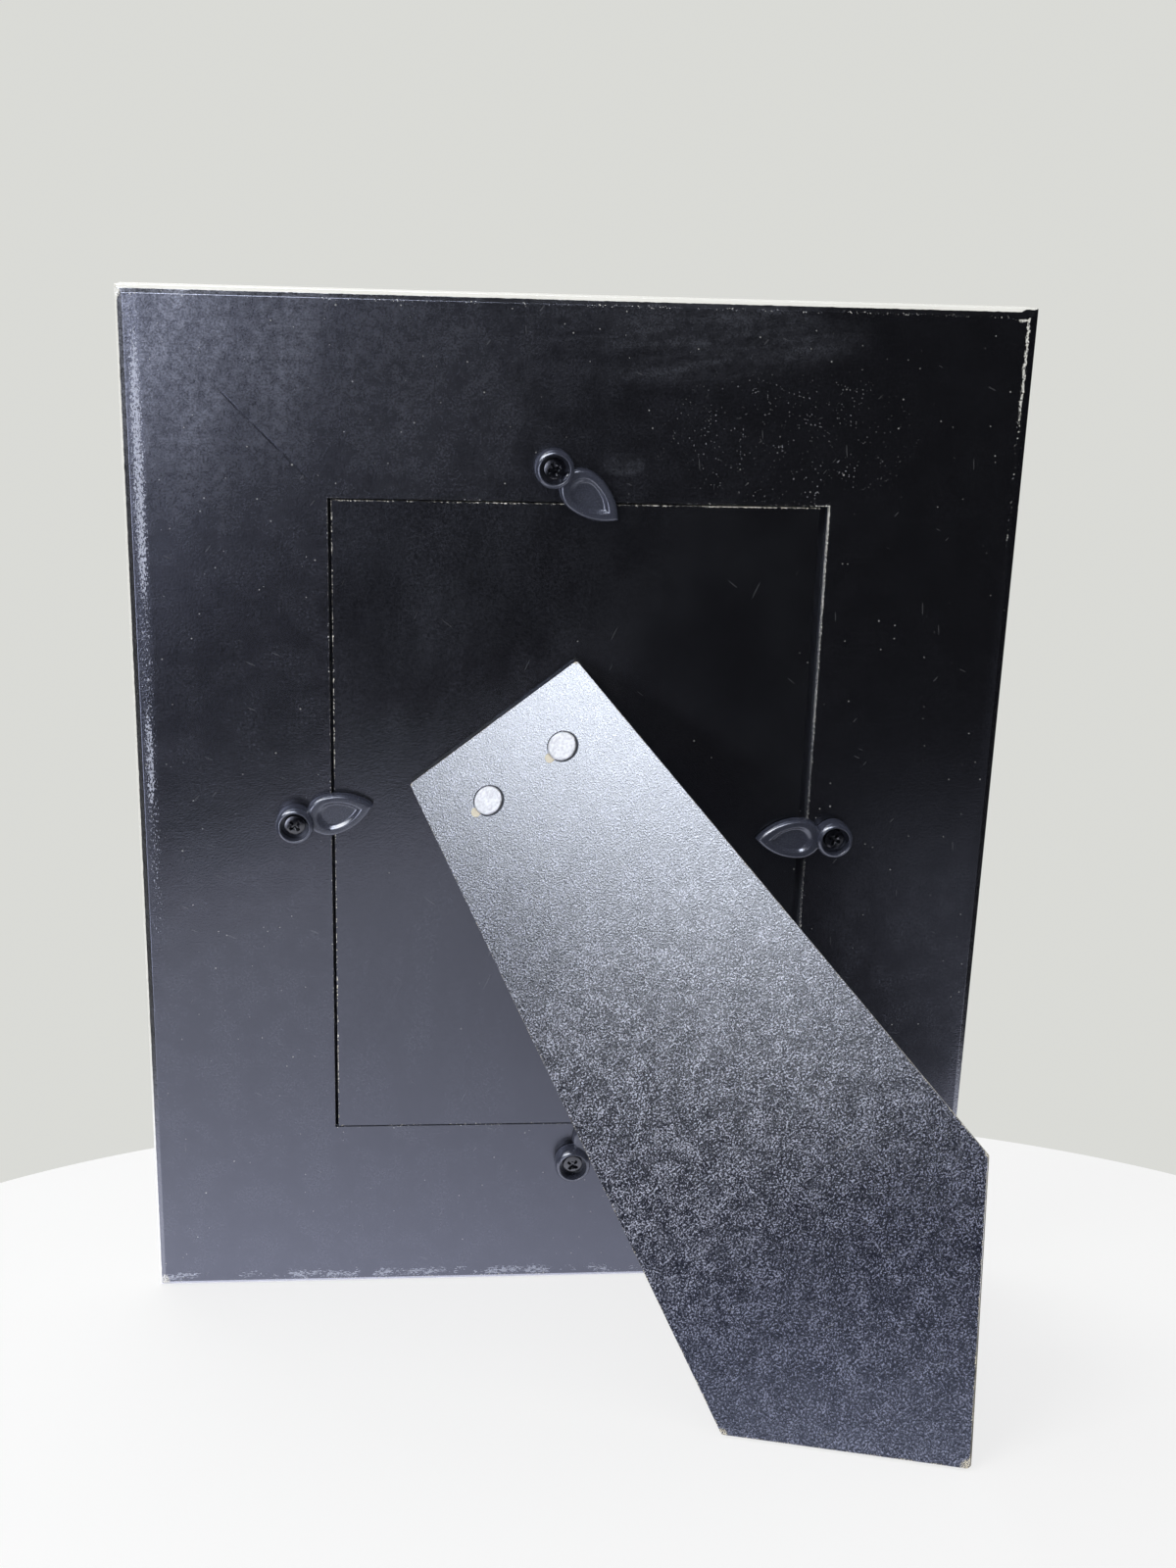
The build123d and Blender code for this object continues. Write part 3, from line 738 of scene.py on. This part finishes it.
edge_distance = from_outline(tree, x, y, strut_corners)
crumple = noise(tree, local, 2.1, 2.0, 0.6)
grit = noise(tree, local, 4.4, 1.0, 0.6)
broad = noise(tree, local, 0.05, 3.0)
streak = noise(tree, local, 0.2, 4.0, 0.65)
speck = rise(tree, grit, 0.3, 0.7)
grain = plus(tree, crumple, grit, 0.42)
clouds = noise(tree, local, 0.28, 3.0, 0.65)
clouded = product(tree, calc(tree, "SUBTRACT", clouds, 0.5), 0.3)
tops = rise(tree, calc(tree, "ADD", grain, clouded), 0.715, 0.89)
near_corner = [
    patch(tree, x, y, spot, (reach, reach))
    for spot, reach in zip(strut_corners, (0.8, 1.2, 0.8, 2.4, 1.6))
]
corner_wear = product(tree, most(tree, *near_corner), rise(tree, speck, 0.3, 0.5))
foot = rise(tree, y, 120.0, 170.0)
chance = plus(tree, 0.3, foot, 0.35)
chance = product(tree, rise(tree, streak, 0.4, 0.65), chance)
edge_wear = worn_line(tree, edge_distance, 0.4, chance, speck)
cut_face = calc(tree, "LESS_THAN", edge_distance, 0.03)
rubbed = most(tree, rise(tree, broad, 0.42, 0.62), product(tree, foot, 0.8))
cut_wear = product(tree, cut_face, rubbed, plus(tree, 0.2, speck, 0.45))
rivet_chips = [
    patch(tree, x, y, (spot[0] + 4.5, spot[1] + 0.6), (1.5, 1.7))
    for spot in rivet_spots
]
chips = product(tree, most(tree, *rivet_chips), calc(tree, "ADD", crumple, 0.3))
chips = rise(tree, chips, 0.3, 0.4)
# Painted shadow: a dark disc round each rivet head, set off to one side
rivet_shadows = [
    patch(tree, x, y, (spot[0] - 0.25, spot[1] + 0.3), (4.9, 4.9))
    for spot in rivet_spots
]
rivet_shadow = rise(tree, most(tree, *rivet_shadows), 0.2, 0.4)
wear = most(tree, corner_wear, edge_wear, cut_wear, chips)
scuffs = most(
    tree,
    marks(tree, local, 10.0, 1.6, 0.14, 0.03),
    marks(tree, local, 72.0, 2.0, 0.14, 0.03),
)
# Painted highlight: the grain tops of the outer face are painted pale, most of all halfway down, and stay
# dark on the underside and cut edges
sheen_band = product(tree, rise(tree, y, 35.0, 85.0), fall(tree, y, 118.0, 162.0))
pale_light = blend_colour(tree, sheen_band, (0.23, 0.242, 0.34, 1), (0.5, 0.515, 0.64, 1))
under = fall(tree, z, 3.5, 4.5)
pale_light = blend_colour(tree, under, pale_light, (0.02, 0.021, 0.028, 1))
paper = blend_colour(tree, tops, (0.0015, 0.002, 0.009, 1), pale_light)
paper = blend_colour(tree, product(tree, broad, 0.25), paper, (0.015, 0.016, 0.022, 1))
paper = blend_colour(tree, product(tree, scuffs, 0.3), paper, (0.2, 0.2, 0.21, 1))
paper = blend_colour(tree, rivet_shadow, paper, (0.002, 0.002, 0.003, 1))
board = blend_colour(tree, grit, (0.5, 0.44, 0.33, 1), (0.72, 0.66, 0.53, 1))
colour = blend_colour(tree, wear, paper, board)
roughness = plus(tree, 0.11, broad, 0.06)
roughness = most(tree, roughness, product(tree, most(tree, wear, rivet_shadow, under), 0.85))
pressed = plus(tree, 0.85, rise(tree, y, 10.0, 90.0), 0.15)
height = product(tree, minus(tree, grain, wear, 0.8), pressed)
set_gloss(shader, 1.9, 0.43, (0.86, 0.91, 1.0, 1))
finish_surface(tree, shader, colour, roughness, height, 0.000055)
cover(strut_paper, "easel_strut")

# Rivets
# Flat-headed soft aluminium rivets with rounded rims: two hold a hinge leaf to the strut,
# with their heads let into it, and two hold the other leaf to the backing board from its front.
rivet_sink = 0.4
rivet_section = (
    (0.01, -2.9), (1.99, -2.9), (1.99, 0.0), (3.97, 0.0), (3.99, 0.3), (3.95, 0.5), (3.84, 0.66),
    (3.66, 0.76), (3.4, 0.795), (2.2, 0.785), (0.01, 0.78),
)
rivet_aluminium, tree, shader = new_material("rivet_aluminium")
local = local_axes(tree, *strut_axes)
dents = noise(tree, local, 1.3, 3.0, 0.6)
scuffs = most(
    tree,
    marks(tree, local, 30.0, 1.2, 0.1, 0.15),
    marks(tree, local, 115.0, 1.0, 0.1, 0.15),
)
colour = blend_colour(tree, rise(tree, dents, 0.3, 0.7), (0.36, 0.36, 0.36, 1), (0.56, 0.56, 0.56, 1))
colour = blend_colour(tree, product(tree, scuffs, 0.6), colour, (0.26, 0.26, 0.28, 1))
roughness = plus(tree, 0.58, dents, 0.25)
shader.inputs["Metallic"].default_value = 0.9
finish_surface(tree, shader, colour, roughness, dents, 0.00003)
cover(rivet_aluminium, "board_rivets")

rivet = lathe(rivet_section, 72)
corners = []
faces = []
for spot in rivet_spots:
    faces += grid_faces(rivet.shape[0], rivet.shape[1], len(corners) * rivet.shape[0] * rivet.shape[1])
    place = rivet.reshape(-1, 3) + np.array((*spot, strut_seat + strut_thickness - rivet_sink))
    corners.append(np.array(strut_origin) + place @ np.array(strut_axes[1:]) / 1000)
strut_rivets = mesh_piece("strut_rivet_heads", np.concatenate(corners), faces)
strut_rivets.data.materials.append(rivet_aluminium)
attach(strut_rivets, "strut")
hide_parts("strut_rivets")

# Table
# A small round white table top under the frame. It glows a little to the eye, so that it stays pale
# where the strut shades it, and in gloss, where it is bluer and brightest near the frame and at the left.
table_radius = 254.0
table_middle = (-0.0175, -0.06, 0.0)
table_depth = 20.0
table_section = (
    (0.01, -table_depth), (table_radius - 4, -table_depth), (table_radius, -table_depth / 2),
    (table_radius - 1, -2.0), (table_radius - 4, 0.0), (0.01, 0.0),
)
seen_level = 0.95
table_points = lathe(table_section, 180) / 1000 + np.array(table_middle)
table = mesh_piece("table", table_points, grid_faces(table_points.shape[0], table_points.shape[1], 0))
table_white, tree, shader = new_material("table_white")
shader.inputs["Base Color"].default_value = (0.82, 0.82, 0.82, 1)
shader.inputs["Roughness"].default_value = 0.6
ray = add_node(tree, "LightPath", {}).outputs
seen = most(tree, ray["Is Camera Ray"], ray["Is Transmission Ray"])
seen = most(tree, product(tree, seen, 0.8), product(tree, ray["Is Glossy Ray"], 0.7))
spot = parts(tree, object_place(tree))
near = add_node(tree, "MapRange", {"Value": spot[1], "From Min": 0.12, "From Max": -0.06}).outputs[0]
near = plus(tree, 0.54, calc(tree, "POWER", near, 2.0), 0.93)
leftward = plus(tree, 0.82, rise(tree, spot[0], -0.03, 0.11), 0.18)
near = calc(tree, "ADD", product(tree, near, product(tree, leftward, 1.85)), 0.25)
level = plus(tree, seen_level, ray["Is Glossy Ray"], calc(tree, "SUBTRACT", near, seen_level))
tone = blend_colour(tree, ray["Is Glossy Ray"], (1.0, 1.0, 1.005, 1), (0.81, 0.83, 1.0, 1))
glow = add_node(tree, "Emission", {"Color": tone, "Strength": level}).outputs[0]
mixed = add_node(tree, "MixShader", {0: seen, 1: shader.outputs[0], 2: glow}).outputs[0]
tree.links.new(mixed, tree.nodes["Material Output"].inputs["Surface"])
table.data.materials.append(table_white)

# Light
# A pale even room, a window lamp high on the left behind the camera and a broad lamp above the front.
# A tent of cards that show only in gloss: dark, with a pale glow low on the left and three bright panes,
# one of them the window's. One more lies on the table and darkens what the right of the back mirrors.
light_aim = (0, 0, 0.14)
lamp_distance = 1.3
window_bearing = (0.551, 0.532, 0.643)
card_tone = (0.01, 0.01, 0.016, 1)
world = bpy.data.worlds.new("room")
bpy.context.scene.world = world
world.use_nodes = True
world.node_tree.nodes["Background"].inputs["Color"].default_value = (0.7, 0.705, 0.675, 1)
world.node_tree.nodes["Background"].inputs["Strength"].default_value = 1.0

card_dark, tree, shader = new_material("card_dark")
spot = parts(tree, object_place(tree))
leftward = plus(tree, product(tree, spot[0], 0.82), spot[2], 0.57)
behind = calc(tree, "GREATER_THAN", spot[1], 1.19)
low = fall(tree, spot[2], -0.15, 0.34)
pale_light = product(tree, calc(tree, "POWER", rise(tree, leftward, -0.12, 0.28), 1.9), behind, low)
bright = product(tree, rise(tree, leftward, 0.2, 0.45), behind, low)
tone = blend_colour(tree, pale_light, card_tone, (0.75, 0.8, 1.06, 1))
tone = blend_colour(tree, bright, tone, (5.3, 5.6, 7.0, 1))
aimed = {0: object_place(tree), 1: light_aim}
bearing = add_node(tree, "VectorMath", aimed, operation="SUBTRACT").outputs[0]
bearing = add_node(tree, "VectorMath", {0: bearing}, operation="NORMALIZE").outputs[0]
panes = (
    ((0.219, 0.722, 0.656), 0.976, 0.99, (13.0, 13.8, 16.0, 1)),
    ((0.74, 0.146, 0.656), 0.976, 0.99, (13.0, 13.8, 16.0, 1)),
    (window_bearing, 0.968, 0.988, (7.2, 7.4, 7.7, 1)),
)
for pane, edge, full, pane_tone in panes:
    facing = add_node(tree, "VectorMath", {0: bearing, 1: pane}, operation="DOT_PRODUCT").outputs["Value"]
    tone = blend_colour(tree, rise(tree, facing, edge, full), tone, pane_tone)
plain = add_node(tree, "Emission", {"Color": tone, "Strength": 1.0}).outputs[0]
tree.links.new(plain, tree.nodes["Material Output"].inputs["Surface"])

card_low, tree, shader = new_material("card_low")
spot = parts(tree, object_place(tree))
outer = product(
    tree,
    fall(tree, spot[0], -0.15, -0.11),
    fall(tree, spot[1], 0.14, 0.2),
)
tone = blend_colour(tree, outer, card_tone, (0.25, 0.26, 0.31, 1))
plain = add_node(tree, "Emission", {"Color": tone, "Strength": 1.0}).outputs[0]
tree.links.new(plain, tree.nodes["Material Output"].inputs["Surface"])

card_corners = {
    "card_behind": ((-1.8, 1.2, -1.8), (1.8, 1.2, -1.8), (1.8, 1.2, 1.6), (-1.8, 1.2, 1.6)),
    "card_above": ((-1.8, -0.1, 1.6), (1.8, -0.1, 1.6), (1.8, 1.2, 1.6), (-1.8, 1.2, 1.6)),
    "card_left": ((1.8, -0.6, -1.8), (1.8, -0.6, 1.6), (1.8, 1.2, 1.6), (1.8, 1.2, -1.8)),
    "card_right": ((-1.8, -1.6, -1.8), (-1.8, -1.6, 1.6), (-1.8, 1.2, 1.6), (-1.8, 1.2, -1.8)),
    "card_low": ((-0.4, 0.0, 0.002), (-0.08, 0.0, 0.002), (-0.08, 0.3, 0.002), (-0.4, 0.3, 0.002)),
}
for name, corners in card_corners.items():
    card = mesh_piece(name, np.array(corners), [[0, 1, 2, 3]])
    card.data.materials.append(card_low if name == "card_low" else card_dark)
    card.visible_camera = False
    card.visible_diffuse = False
    card.visible_shadow = False
    card.visible_transmission = False

lamps = {
    "window": (0.6, 7.9, window_bearing),
    "rear_lamp": (0.7, 5.0, (0.2, -0.45, 0.87)),
}
for name, (size, power, bearing) in lamps.items():
    lamp = bpy.data.lights.new(name, "AREA")
    lamp.shape = "SQUARE"
    lamp.size = size
    lamp.energy = power
    lamp_object = bpy.data.objects.new(name, lamp)
    bpy.context.scene.collection.objects.link(lamp_object)
    lamp_object.location = Vector(light_aim) + Vector(bearing).normalized() * lamp_distance
    lamp_object.rotation_euler = Vector(bearing).to_track_quat("Z", "Y").to_euler()

# Camera
# At the photograph's viewing angle: behind the frame, a little to its left and level with its middle.
# Its place, turn and focal length were fitted to the frame's corners.
camera_azimuth = np.radians(-5.21)
camera_elevation = np.radians(1.38)
camera_roll = np.radians(0.29)
camera_place = Vector((0.0409, 0.4669, 0.16))
focal_pixels = 1850
picture_pixels = 1600
sensor_width = 36.0
ahead = Vector((
    np.sin(camera_azimuth) * np.cos(camera_elevation),
    -np.cos(camera_azimuth) * np.cos(camera_elevation),
    -np.sin(camera_elevation),
))
level = ahead.cross(Vector((0, 0, 1))).normalized()
above = level.cross(ahead)
camera_x = level * np.cos(camera_roll) + above * np.sin(camera_roll)
camera_y = above * np.cos(camera_roll) - level * np.sin(camera_roll)
camera = bpy.data.objects.new("camera", bpy.data.cameras.new("camera"))
bpy.context.scene.collection.objects.link(camera)
camera.data.lens = sensor_width * focal_pixels / picture_pixels
camera.data.sensor_width = sensor_width
camera.data.clip_start = 0.01
stand = Matrix((camera_x, camera_y, -ahead)).transposed().to_4x4()
stand.translation = camera_place
camera.matrix_world = stand
bpy.context.scene.camera = camera
bpy.context.scene.view_settings.view_transform = "Standard"
